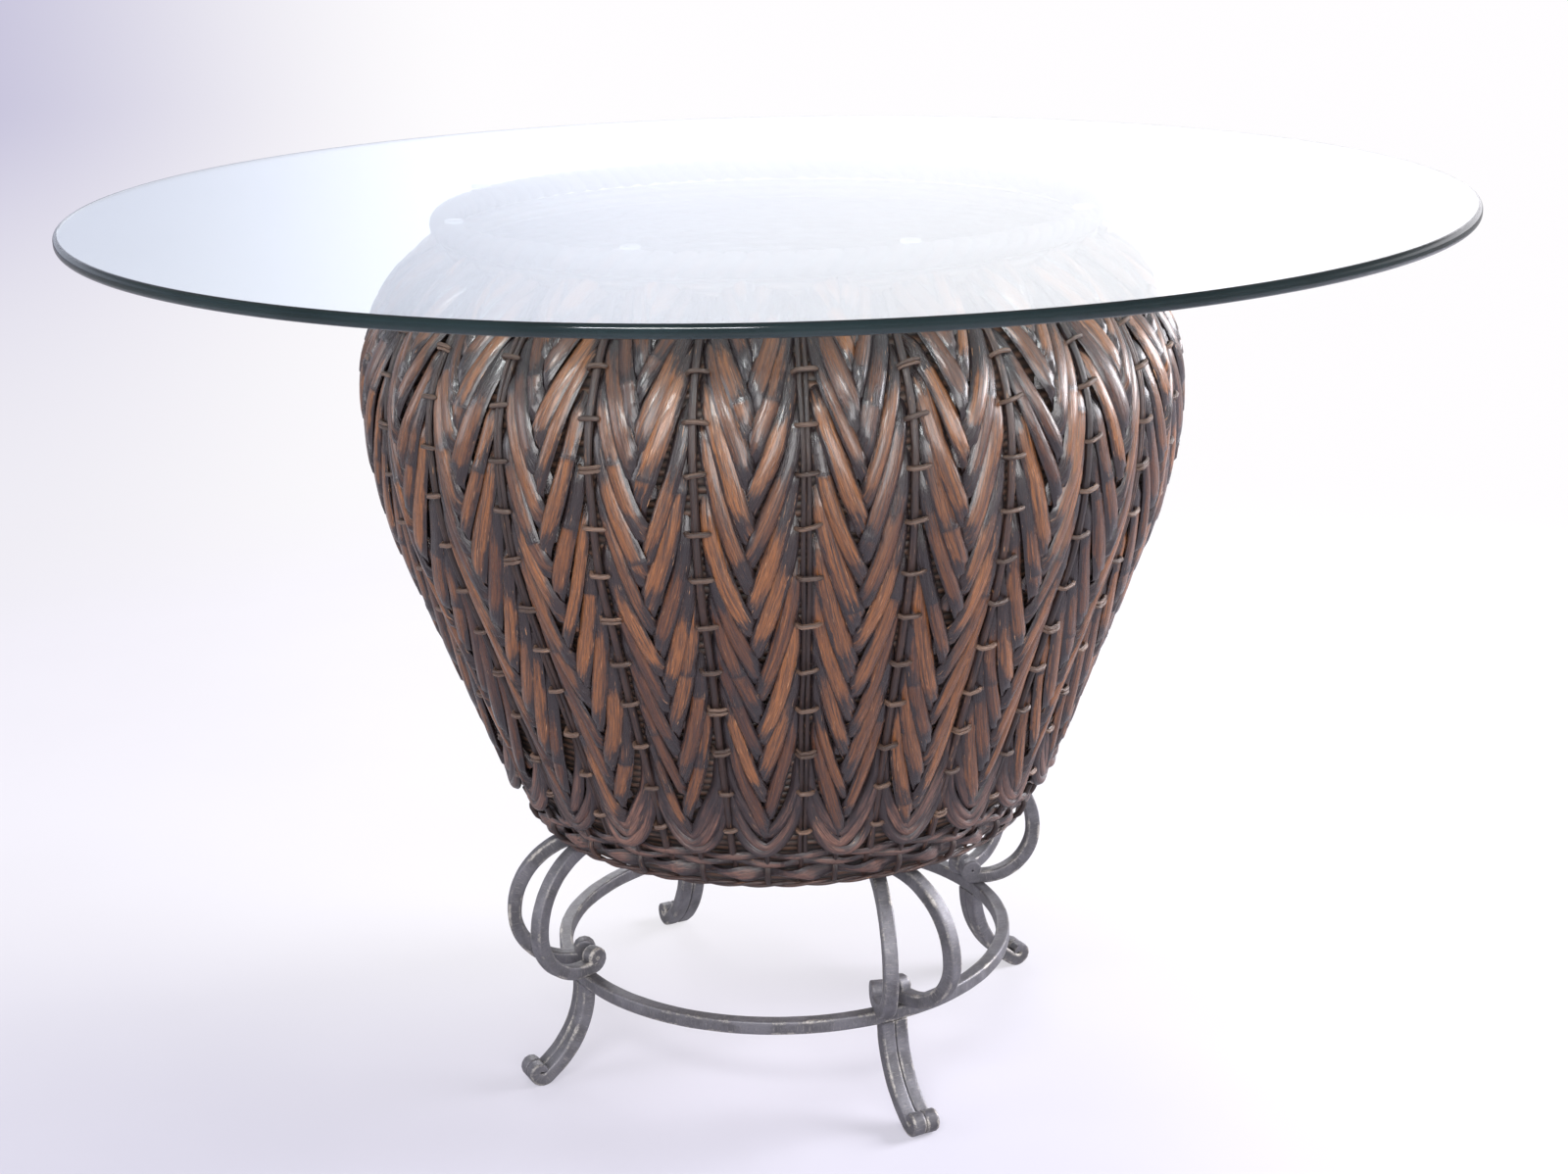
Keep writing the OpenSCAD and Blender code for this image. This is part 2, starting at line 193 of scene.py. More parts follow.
def make_cane_group():
    """Grain of cane or reed that runs along a strand, with dark stain, node rings and painted shade
    on the sides of strands and where the meshes mark shade.
    """
    group, given, out = new_group("cane_grain", {
        "Bark": (0.05, 0.016, 0.0085, 1), "Pale bark": (0.224, 0.082, 0.024, 1),
        "Stain and shade": (0.0135, 0.0105, 0.0125, 1), "Bare cane": (0.5, 0.26, 0.13, 1),
        "Shade and stain reach": 1.0, "Roughness low": 0.2, "Roughness high": 0.44})
    w = Wiring(group)
    across, along, tone, dark, ring = map(w.attribute, ("across", "along", "tone", "dark", "ring"))
    place = w.combine(w.times(across, 0.014), along, w.times(tone, 7.0))
    fibre, lines, streak, blotch, drip, nick = (
        w.noise(place, 1.0, *facts) for facts in CANE_NOISES.values())
    lit = w.line(tone, 0.7, w.plus(w.times(streak, 0.7), w.times(lines, 0.8)))
    base = w.mix(w.fit(lit, 0.6, 1.6), given["Bark"], given["Pale bark"])
    base = w.mix(w.fit(fibre, 0.36, 0.6, 0.75, 0.0), base, given["Stain and shade"])
    base = w.mix(w.fit(lines, 0.34, 0.5, 0.7, 0.0), base, given["Stain and shade"])
    edge = w.math("ABSOLUTE", w.line(across, 2.0, -1.0))
    # Painted shade: the per-point darkness that the meshes give, where strands dive under others or
    # toward the stakes, is mixed into the stain along with real blotches and drips.
    stain_and_shade = w.plus(w.times(dark, given["Shade and stain reach"]), w.line(blotch, 1.5, -0.8))
    stain_and_shade = w.plus(stain_and_shade, w.line(drip, 1.2, -0.58))
    # Painted shade: the rounded sides of every strand are darkened.
    stain_and_shade = w.plus(stain_and_shade, w.fit(edge, 0.45, 1.0, 0.0, 0.7))
    stain_and_shade = w.fit(stain_and_shade, 0.12, 0.72, 0.0, 0.95)
    base = w.mix(stain_and_shade, base, given["Stain and shade"])
    base = w.mix(w.times(ring, 0.8), base, given["Stain and shade"])
    bare = w.fit(w.plus(nick, w.times(tone, 0.06)), 0.7, 0.78, 0.0, 0.6)
    w.put(out["Color"], w.mix(bare, base, given["Bare cane"]))
    rough = w.fit(w.plus(w.times(lines, 0.6), w.times(blotch, 0.4)), 0.3, 0.7,
                  given["Roughness high"], given["Roughness low"])
    w.put(out["Roughness"], w.math("SUBTRACT", rough, w.times(stain_and_shade, 0.06)))
    height = w.line(lines, 0.8, w.plus(w.times(fibre, 0.3), w.times(streak, 0.6)))
    w.put(out["Height"], w.math("SUBTRACT", height, w.times(ring, 0.25)))
    return group


def make_wear_group():
    """Forged iron: brushed marks, dull scale and edges rubbed to bare metal."""
    group, given, out = new_group("forged_wear", {
        "Iron": (0.122, 0.119, 0.134, 1), "Bare": (0.46, 0.43, 0.39, 1),
        "Scale dust": (0.06, 0.058, 0.064, 1), "Wear": 1.0})
    w = Wiring(group)
    place = w.place()
    corner, along, across = map(w.attribute, ("corner", "along", "across"))
    cloud = w.noise(place, 38.0, 4.0, 0.6)
    speck = w.noise(place, 520.0, 3.0, 0.65)
    dents = w.noise(place, 120.0, 2.0, 0.5)
    marks = w.noise(w.combine(along, across, 0.0), 1.0, 3.0, 0.65, (950.0, 7.0, 1.0))
    base = w.mix(w.fit(cloud, 0.35, 0.65, 0.0, 0.85), given["Iron"], given["Scale dust"])
    base = w.mix(w.fit(marks, 0.5, 0.8, 0.0, 0.32), base, given["Bare"])
    rub = w.plus(w.times(corner, 0.62), w.line(cloud, 2.2, -1.25))
    rub = w.plus(rub, w.line(speck, 1.1, -0.55))
    rub = w.math("MULTIPLY", w.fit(rub, 0.4, 0.95, 0.0, 0.75), given["Wear"], clamp=True)
    base = w.mix(rub, base, given["Bare"])
    w.put(out["Color"], w.mix(w.fit(speck, 0.56, 0.7, 0.0, 0.55), base, given["Scale dust"]))
    rough = w.fit(w.plus(w.times(speck, 0.5), w.times(marks, 0.5)), 0.3, 0.7, 0.4, 0.62)
    w.put(out["Roughness"], w.math("SUBTRACT", rough, w.times(rub, 0.08)))
    height = w.plus(w.times(dents, 0.9), w.times(marks, 0.3))
    w.put(out["Height"], w.plus(height, w.times(speck, 0.25)))
    return group


CANE_BUMP = 0.8
CANE_RELIEF = 0.0012
COAT_ROUGHNESS = 0.13
IRON_BUMP = 0.5
IRON_RELIEF = 0.0008
IRON_METAL = 0.4
PLY_ROW = 0.0062
EDGE_START = 0.5755
EDGE_BLEND = 0.002
EDGE_SHARE = 0.85
GLASS_DENSITY = 7.0
SMEAR = 0.985


def emptied(owner, output):
    """The wiring of a material's or world's emptied tree, and the sockets of its output."""
    owner.use_nodes = True
    owner.node_tree.nodes.clear()
    wiring = Wiring(owner.node_tree)
    return wiring, wiring.node(output).inputs


def new_material(name):
    made = bpy.data.materials.new(name)
    return (made, *emptied(made, "OutputMaterial"))


def painted(name, paint, **plain):
    """A solid material. paint wires up its colour, roughness and bump; plain holds numbers."""
    made, w, out = new_material(name)
    colour, rough, bump = paint(w)
    given = {"Base Color": colour, "Roughness": rough, "Normal": bump, **plain}
    w.put(out["Surface"], w.node("BsdfPrincipled", given))
    return made


def from_group(group, values, strength, distance):
    """Paint that a shared group works out."""
    def paint(w):
        found = w.node("Group", values, node_tree=group).outputs
        return found["Color"], found["Roughness"], w.bump(found["Height"], strength, distance)
    return paint


def cane_material(name, group, values, coat):
    return painted(name, from_group(group, values, CANE_BUMP, CANE_RELIEF),
                   **{"Coat Weight": coat, "Coat Roughness": COAT_ROUGHNESS})


def iron_material(name, group, wear):
    return painted(name, from_group(group, {"Wear": wear}, IRON_BUMP, IRON_RELIEF),
                   Metallic=IRON_METAL)


def board_paint(w):
    grain = w.noise(w.place(), 1.0, 4.0, 0.6, (220.0, 12.0, 40.0))
    colour = w.mix(w.fit(grain, 0.3, 0.7), (0.16, 0.09, 0.05, 1), (0.3, 0.18, 0.1, 1))
    return colour, w.fit(grain, 0.3, 0.7, 0.5, 0.7), w.bump(grain, 0.3, 0.0006)


def ply_paint(w):
    """Dark inner layer: rows of reed woven over and under the stakes, with painted shade between
    the rows and under the stakes.
    """
    place = w.place()
    x, y, z = w.split(place)
    row = w.times(z, 1 / PLY_ROW)
    parity = w.times(w.math("FLOOR", row), math.pi)
    swing = w.math("SINE", w.plus(w.times(w.math("ARCTAN2", y, x), COLUMNS * 2.0), parity))
    bead = w.math("SINE", w.times(w.math("FRACT", row), math.pi))
    relief = w.times(bead, w.line(swing, 0.3, 0.7))
    cloud = w.noise(place, 60.0, 3.0)
    # Painted shade: the colour follows the rows' relief, darker between rows and where a row passes
    # under a stake.
    tone = w.plus(w.times(relief, 0.6), w.times(cloud, 0.5))
    colour = w.mix(w.fit(tone, 0.2, 1.0), (0.012, 0.009, 0.008, 1), (0.09, 0.045, 0.028, 1))
    return colour, w.fit(cloud, 0.3, 0.7, 0.5, 0.7), w.bump(relief, 0.8, 0.003)


def glass_material(name, tint, shadow, ior, deep=False):
    """Clear glass that lets light through to what stands under it.

    Deep glass also has a darker polished edge and a colour of its own inside.
    """
    made, w, out = new_material(name)
    place = w.place()
    dull = [SMEAR * part for part in tint[:3]] + [1]
    body = w.node("BsdfPrincipled", {
        "Base Color": w.mix(w.fit(w.noise(place, 3.0, 3.0), 0.35, 0.7), tint, dull),
        "Metallic": 0.0, "Transmission Weight": 1.0, "IOR": ior, "Roughness": 0.0})
    if deep:
        tone = w.fit(w.noise(place, 14.0, 2.0), 0.3, 0.7)
        edge = w.node("BsdfPrincipled", {
            "Base Color": w.mix(tone, (0.019, 0.042, 0.046, 1), (0.03, 0.06, 0.066, 1)),
            "Transmission Weight": 0.35, "Roughness": 0.12, "IOR": ior})
        flat = w.node("VectorMath", {0: place, 1: (1, 1, 0)}, operation="MULTIPLY")
        body = w.blend(w.fit(w.length(flat), EDGE_START, EDGE_START + EDGE_BLEND, 0.0, EDGE_SHARE),
                       body, edge)
        volume = {"Color": (0.15, 0.55, 0.6, 1), "Density": GLASS_DENSITY}
        w.put(out["Volume"], w.node("VolumeAbsorption", volume))
    rays = w.rays()
    unseen = w.larger(rays["Is Shadow Ray"], rays["Is Diffuse Ray"])
    w.put(out["Surface"], w.blend(unseen, body, w.node("BsdfTransparent", {"Color": shadow})))
    return made


# ---- meshes ----

ATTRIBUTES = ("across", "along", "tone", "dark", "ring", "corner")


class Shape:
    """Collects rings of points, joined into closed strips, as one mesh with its attributes."""

    def __init__(self):
        self.points = []
        self.faces = []
        self.values = {name: [] for name in ATTRIBUTES}

    def rings(self, points, values, closed_run=False, capped=True):
        """points is (run, round, 3); each of the values is stretched to (run, round)."""
        run, turn, _ = points.shape
        index = len(self.points) + np.arange(run * turn).reshape(run, turn)
        self.points.extend(points.reshape(-1, 3).tolist())
        for name, kept in self.values.items():
            given = np.broadcast_to(np.asarray(values.get(name, 0.0), float), (run, turn))
            kept.extend(given.reshape(-1).tolist())
        last = run if closed_run else run - 1
        here = index[:last]
        there = np.roll(index, -1, 0)[:last]
        faces = np.stack([here, np.roll(here, -1, 1), np.roll(there, -1, 1), there], -1)
        self.faces.extend(faces.reshape(-1, 4).tolist())
        if capped and not closed_run:
            self.faces.append(index[0][::-1].tolist())
            self.faces.append(index[-1].tolist())

    def finish(self, name, material, replaces, sharp=40.0, body="table_base"):
        mesh = bpy.data.meshes.new(name)
        mesh.from_pydata(self.points, [], self.faces)
        for label, kept in self.values.items():
            if any(kept):
                mesh.attributes.new(label, "FLOAT", "POINT").data.foreach_set("value", kept)
        mesh.materials.append(material)
        mesh.update()
        mesh.shade_smooth()
        mesh.set_sharp_from_angle(angle=math.radians(sharp))
        piece = add_object(name, mesh)
        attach(piece, body)
        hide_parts(*replaces)
        return piece


def smooth(value, low, high):
    t = np.clip((np.asarray(value, float) - low) / (high - low), 0, 1)
    return t * t * (3 - 2 * t)


def noises(x, y, z):
    """Smooth noise at each point, from coordinates that stretch to one shape."""
    spots = np.stack(np.broadcast_arrays(x, y, z), -1)
    found = [noise.noise(Vector(spot)) for spot in spots.reshape(-1, 3)]
    return np.reshape(found, spots.shape[:-1])


def turns(steps):
    return np.arange(steps) * TAU / steps


def turned(points, angle):
    """Points turned about the table's axis."""
    x, y, z = np.moveaxis(points, -1, 0)
    c = math.cos(angle)
    s = math.sin(angle)
    return np.stack([x * c - y * s, x * s + y * c, z], axis=-1)


def placed(local, angle):
    """Points drawn outward along +X, y to the right, turned to an angle from the front, in m."""
    return turned(local, angle - math.pi / 2) * MM


def round_axis(radius, turn, height):
    """Points round the table's axis, turn by turn from the front, in m."""
    points = np.broadcast_arrays(radius * np.sin(turn), -radius * np.cos(turn), height)
    return np.stack(points, axis=-1) * MM


def outward(path):
    """The way out from the table's axis at each point."""
    out = path * (1, 1, 0)
    return out / np.linalg.norm(out, axis=1, keepdims=True)


def swept(path, section, up, closed, grow=1.0):
    """Rings of a section (across, out) carried along a path; up is the way out at each point."""
    if closed:
        along = np.roll(path, -1, 0) - np.roll(path, 1, 0)
    else:
        along = np.gradient(path, axis=0)
    along /= np.linalg.norm(along, axis=1, keepdims=True)
    up = up - (up * along).sum(1, keepdims=True) * along
    up /= np.linalg.norm(up, axis=1, keepdims=True)
    side = np.cross(along, up)
    grow = np.broadcast_to(grow, len(path))[:, None]
    width, out = (section[:, i] * grow for i in range(2))
    return path[:, None] + width[..., None] * side[:, None] + out[..., None] * up[:, None]


def run_lengths(path):
    steps = np.linalg.norm(np.diff(path, axis=0), axis=1)
    return np.concatenate([[0], np.cumsum(steps)])


def tube(shape, path, radius, sides=8, closed=False, grow=1.0, offset=0.0, **values):
    """Adds a reed along a path in m; its radius is in mm."""
    turn = turns(sides)
    section = np.stack([np.cos(turn), np.sin(turn)], axis=1) * radius * MM
    values["across"] = np.abs(np.linspace(-1, 1, sides, endpoint=False)) * 0.6 + 0.2
    values["along"] = (offset + run_lengths(path))[:, None]
    shape.rings(swept(path, section, outward(path), closed, grow), values, closed)


# ---- wall of the basket, as in the part's source ----

COLUMNS = 26
COLUMN_STEP = TAU / COLUMNS
STAKE_TURN = math.radians(3.6)
BELLY_R = 350.0
SIDE_CURVE = 358.0
SHOULDER_CURVE = 140.0
WALL_FOOT_R = 244.0
FOOT_Z = 226.0
BAND_H = 38.0
BAND_FLARE = 18.0
BAND_BOTTOM_R = 220.0
BAND_LEAN = math.atan(BAND_FLARE / BAND_H)
WALL_Z = FOOT_Z + BAND_H
BELLY_Z = FOOT_Z + 381.0
RIM_R = 272.0
RIM_D = 21.0
RIM_Z = 738.523
RIM_CLEAR = 0.6
GROOVE_HALF = 3.9
STAKE_DEPTH = 10.4
STAKE_D = 6.6
COURSES = 12
FIRST_COURSE = 2
TIES = 11

SIDE_C = np.array([BELLY_R - SIDE_CURVE, BELLY_Z])
SHOULDER_C = np.array([BELLY_R - SHOULDER_CURVE, BELLY_Z])
reach = np.array([WALL_FOOT_R, WALL_Z]) - SIDE_C
CONE_LEN = math.sqrt(reach @ reach - SIDE_CURVE ** 2)
CONE_ANGLE = -math.atan2(reach[1], reach[0]) - math.acos(SIDE_CURVE / math.hypot(*reach))
SIDE_LEN = SIDE_CURVE * CONE_ANGLE
STRAND_TOP_R = RIM_R + RIM_D / 2 + RIM_CLEAR
SHOULDER_ANGLE = math.acos((STRAND_TOP_R - SHOULDER_C[0]) / SHOULDER_CURVE)
WALL_LEN = CONE_LEN + SIDE_LEN + SHOULDER_CURVE * SHOULDER_ANGLE
PITCH = WALL_LEN / COURSES


def fall_angle(s):
    side = CONE_ANGLE - (s - CONE_LEN) / SIDE_CURVE
    shoulder = -(s - CONE_LEN - SIDE_LEN) / SHOULDER_CURVE
    return np.where(s < CONE_LEN, CONE_ANGLE, np.where(s < CONE_LEN + SIDE_LEN, side, shoulder))


def crest(s):
    """Radius and height of the crest line at a distance along the wall from its foot."""
    s = np.asarray(s, float)
    fall = fall_angle(s)
    s = s[..., None]
    way = np.stack([np.cos(fall), -np.sin(fall)], axis=-1)
    side = SIDE_C + SIDE_CURVE * way
    cone = side - np.stack([np.sin(fall), np.cos(fall)], axis=-1) * (CONE_LEN - s)
    shoulder = SHOULDER_C + SHOULDER_CURVE * way
    return np.where(s < CONE_LEN, cone, np.where(s < CONE_LEN + SIDE_LEN, side, shoulder))


def half_width(s):
    """Half the width of a column between its crest and the groove."""
    half = COLUMN_STEP / 2
    return crest(s)[..., 0] * math.tan(half) - GROOVE_HALF / math.cos(half)


def wall_points(s, u, depth):
    """Local points on a column: s up the wall, u to the right, depth in from the crests."""
    fall = fall_angle(s)
    line = crest(s)
    drop = depth + u ** 2 * np.cos(fall) / (2 * line[..., 0])
    return np.stack([line[..., 0] - drop * np.cos(fall), u,
                     line[..., 1] + drop * np.sin(fall)], axis=-1)


# ---- strands ----

STRAND_T = 5.0
STRAND_CROWN = 3.7
LOBE_DEPTH = 9.0
SHINGLE = 0.55
STAKE_ROOM = -1.0
DIVE = 6.0
TUCK = 5.4
KNOT_SWELL = 0.55
KNOT_GROOVE = 0.5
KNOT_WIDER = 0.035
SWAY = 5.0
WALL_SPARE = 6
FOOT_SPARE = 10

# Places across a strand, from side to side over its top and back along its underside
TOP_ACROSS = np.array([-1.0, -0.86, -0.6, -0.3, 0.0, 0.3, 0.6, 0.86, 1.0])
UNDER_ACROSS = np.array([0.9, 0.0, -0.9])
ACROSS = np.concatenate([TOP_ACROSS, UNDER_ACROSS])
ACROSS_SHARE = ACROSS / 2 + 0.5
TOPS = len(TOP_ACROSS)


def strand_facts(rng, tip, right):
    """Everything that sets one strand apart: its tip, lean, bend, width, tone and node rings."""
    return {
        "right": right,
        "tip": tip + rng.uniform(-4.5, 4.5),
        "bend": rng.uniform(1.5, 1.95),
        "rise": rng.uniform(112, 132),
        "width": rng.choice((12.6, 14.4, 15.2, 15.8, 16.6, 17.6)) + rng.uniform(-0.5, 0.5),
        "shift": rng.uniform(-1.4, 1.4),
        "spread": rng.uniform(-1.4, 1.2),
        "tone": rng.random(),
        # Share of the rise where the painted shade toward the stake begins
        "stain_and_shade": rng.uniform(0.5, 1.0),
        "offset": rng.uniform(0, 40),
        "lift": rng.uniform(-0.5, 0.5),
        "tilt": rng.uniform(-0.08, 0.08),
        "knot": rng.uniform(-0.5, 1.25),
        "ridges": np.array([rng.uniform(-0.28, 0.28) for _ in TOP_ACROSS]),
    }


def plan_strands(rng):
    """The facts of every strand, as plan[column][course] = (left, right)."""
    tips = [(n - FIRST_COURSE + 0.5) * PITCH for n in range(COURSES + FIRST_COURSE)]
    return [[(strand_facts(rng, tip, False), strand_facts(rng, tip + PITCH / 2, True))
             for tip in tips] for _ in range(COLUMNS)]


def strand_width(facts, s):
    """Strands narrow toward the foot with the basket itself."""
    return facts["width"] * (0.25 + 0.75 * crest(s)[..., 0] / BELLY_R)


def middle_line(facts, t):
    """Middle of a strand, as if on the right of its column, at shares t of its rise."""
    high = np.asarray(facts["tip"] + 0.8 * facts["rise"])
    full = float(half_width(high)) - strand_width(facts, high) / 2 - STAKE_ROOM + facts["spread"]
    s = facts["tip"] + facts["rise"] * t
    inside = np.clip(1 - t, 0, None)
    u = np.where(t < 0, facts["bend"] * t, 1 - inside ** facts["bend"])
    return s, u * full + facts["shift"] * (1 - t), full


def ribbon(s_mid, u_mid, half):
    """Points across a strand whose middle line runs through s_mid and u_mid on the wall."""
    ds = np.gradient(s_mid)
    du = np.gradient(u_mid)
    size = np.hypot(ds, du)
    s = s_mid[:, None] - ACROSS * (half * du / size)[:, None]
    return s, u_mid[:, None] + ACROSS * (half * ds / size)[:, None]


def on_column(column, s, u, depth):
    """Local points on a column whose middle wanders a little from side to side."""
    course = np.arange(-1, 16)
    sway = SWAY * noises(column * 7.3, course * 0.55, 4.0)
    middle = 1 - np.clip(u / half_width(s), -1, 1) ** 2
    return wall_points(s, u + np.interp(s / PITCH, course, sway) * middle, depth)


def tuck(cover, s, u):
    """How far a strand's points dive under the strand that lies over its tip."""
    c_s, c_u, _ = middle_line(cover, np.array([0.0, 0.12]))
    way = np.array([c_u[0] - c_u[1], c_s[1] - c_s[0]])
    way /= np.linalg.norm(way)
    beyond = (u + c_u[0]) * way[1] - (s - c_s[0]) * way[0]
    edge = float(strand_width(cover, c_s[:1])[0]) / 2
    return TUCK * (1 - smooth(beyond, edge - 1.6, edge + 3.2))


def strand_rings(facts, cover, column):
    """Rings and values of one strand; cover is the opposite strand, which lies over its tip."""
    t = np.linspace(-0.16, 1.04, 21)
    knot = facts["knot"]
    has_knot = 0.1 < knot < 0.9
    if has_knot:
        step = 1.6 / facts["rise"]
        t = np.sort(np.concatenate([t[np.abs(t - knot) > 2.5 * step],
                                    knot + step * np.array([-2.2, -0.8, 0, 0.8, 2.2])]))
    reach = facts["tip"] + facts["rise"] * t
    t = t[(reach < WALL_LEN + WALL_SPARE) & (reach > FOOT_SPARE)]
    if len(t) < 4:
        return None
    s_mid, u_mid, full = middle_line(facts, t)
    half = strand_width(facts, s_mid) / 2 * (1 - 0.12 * smooth(t, 0.7, 1.0))
    ring = np.zeros_like(t)
    swell = np.zeros_like(t)
    if has_knot:
        away = np.abs(t - knot) * facts["rise"]
        ring = 1 - smooth(away, 0.3, 2.4)
        collar = 1 - smooth(away, 0.6, 4.0)
        swell = KNOT_SWELL * collar - KNOT_GROOVE * (1 - smooth(away, 0.0, 0.9))
        half = half * (1 + KNOT_WIDER * collar)
    s, u = ribbon(s_mid, u_mid, half)
    share = np.clip(u_mid / full, -0.4, 1.1)
    base = LOBE_DEPTH * share ** 2 + facts["lift"] + DIVE * smooth(t, 0.86, 1.04)
    slope = 2 * LOBE_DEPTH * share / full - SHINGLE * smooth(t, 0.08, 0.7) + facts["tilt"]
    depth = base[:, None] + slope[:, None] * (u - u_mid[:, None]) + tuck(cover, s, u)
    flat = np.abs(TOP_ACROSS) ** 2.5
    depth[:, :TOPS] += STRAND_CROWN * flat - facts["ridges"] * (1 - flat) - swell[:, None]
    depth[:, TOPS:] += STRAND_T
    side = 1 if facts["right"] else -1
    local = on_column(column, s, side * u, depth)[:, ::-side]
    # Painted shade: darker where the strand dives toward its stake and at its tip, tucked under the
    # strand above; the darker step after a node ring is the cane's own tone.
    dark = smooth(t, facts["stain_and_shade"] - 0.22, facts["stain_and_shade"] + 0.2)
    dark = dark + 0.75 * (1 - smooth(t, 0.02, 0.2))
    dark = dark + 0.55 * smooth(t, knot - 0.012, knot + 0.004) * (1 - smooth(t, knot, knot + 0.2))
    along = facts["offset"] + t * facts["rise"] * MM
    return local, {"across": ACROSS_SHARE[::-side], "along": along[:, None], "tone": facts["tone"],
                   "dark": dark[:, None], "ring": ring[:, None]}


def make_strands(material):
    plan = plan_strands(random.Random(SEED))
    for n in range(FIRST_COURSE, FIRST_COURSE + COURSES):
        shape = Shape()
        for c, column in enumerate(plan):
            left, right = column[n]
            lower_right = column[n - 1][1]
            for facts, cover in ((right, left), (left, lower_right)):
                made = strand_rings(facts, cover, c)
                if made:
                    angle = STAKE_TURN + (c + 0.5) * COLUMN_STEP
                    shape.rings(placed(made[0], angle), made[1])
        name = "strands_%02d" % (n + 1)
        shape.finish("cane_" + name, material, [name])


# Strands that turn round at the foot of a column: height of the bend, rise of the bend,
# share of it that is round, length of the arms above it, depth, width
FOOT_TURNS = (
    (19.0, 64.0, 0.3, 52.0, 1.4, 11.6),
    (10.0, 52.0, 0.6, 48.0, 0.0, 11.0),
    (1.5, 40.0, 0.9, 44.0, -1.2, 10.0),
)
TURN_ANGLE = 1.4
TURN_STEPS = 25
TURN_CROWN = 3.2
TURN_REACH = 0.94
ARM_SHARES = np.linspace(0.12, 1, 6)
ARM_SPREAD = 0.055


def make_foot_turns(material):
    rng = random.Random(SEED + 1)
    shape = Shape()
    turn = np.linspace(-TURN_ANGLE, TURN_ANGLE, TURN_STEPS)
    side = np.sin(turn)
    bowl = 1 - np.cos(turn)
    vee = np.sqrt(side ** 2 + 0.04) - 0.2
    x = side * TURN_REACH
    out = np.linspace(0, ARM_SPREAD, len(ARM_SHARES) + 1)[1:]
    reach = np.concatenate([1 + ARM_SHARES[::-1], np.abs(x), 1 + ARM_SHARES])
    x = np.concatenate([x[0] - out[::-1], x, x[-1] + out])
    lean = 0.12 - 0.3 * smooth(np.abs(x), 0.4, 1.0) * np.sign(x)
    crown = np.concatenate([TURN_CROWN * np.abs(TOP_ACROSS) ** 2.1, [STRAND_T] * 3])
    for c in range(COLUMNS):
        for low, bend, roundness, arm, depth, width in FOOT_TURNS:
            low = low + rng.uniform(-3.2, 2.6)
            skew = rng.uniform(-9.0, 9.0)
            roundness = min(1.0, roundness + rng.uniform(-0.2, 0.2))
            s = low + bend * (roundness * bowl + (1 - roundness) * vee) + skew * side
            s = np.concatenate([(s[0] + ARM_SHARES * arm)[::-1], s, s[-1] + ARM_SHARES * arm])
            u = x * half_width(np.clip(s, 20, None))
            half = width / 2 + rng.uniform(-0.8, 0.8)
            half = half * (1 - 0.14 * smooth(np.abs(x), 0.5, 1.0))
            d = depth + LOBE_DEPTH * np.clip(reach, 0, 1) ** 2 + DIVE * smooth(reach, 1, 2)
            d = d[:, None] + crown + (lean * half)[:, None] * ACROSS
            local = on_column(c, *ribbon(s, u, half), d)[:, ::-1]
            along = rng.uniform(0, 40) + run_lengths(local[:, 4]) * MM
            # Painted shade: darker toward the arms, which dive under the strands above; the random
            # level is the cane's own tone.
            dark = rng.uniform(0.25, 0.6) + 0.5 * smooth(np.abs(x), 0.5, 1.0)
            shape.rings(placed(local, STAKE_TURN + (c + 0.5) * COLUMN_STEP), {
                "across": ACROSS_SHARE[::-1], "along": along[:, None], "tone": rng.random(),
                "dark": dark[:, None]})
    shape.finish("cane_foot_turns", material, ["strands_01", "strands_02"])


# ---- stakes, ties and foot band ----

def make_stakes(material):
    rng = random.Random(SEED + 2)
    shape = Shape()
    s = np.linspace(-6, WALL_LEN - 4, 58)
    for c in range(COLUMNS):
        pair = rng.random() < 0.12
        radius = STAKE_D / 2 * (0.6 if pair else 0.96)
        for lane in ((-1, 1) if pair else (0,)):
            wave = noises(s * 0.012, c * 3.1, lane)
            local = wall_points(s, lane * radius * 1.05 + wave * 1.3, STAKE_DEPTH + 0.6 * wave)
            tube(shape, placed(local, STAKE_TURN + c * COLUMN_STEP), radius, sides=9,
                 tone=rng.random(), dark=0.25, offset=rng.uniform(0, 40),
                 grow=1 + 0.05 * noises(s * 0.05, c, 9))
    shape.finish("reed_stakes", material, ["stakes"])


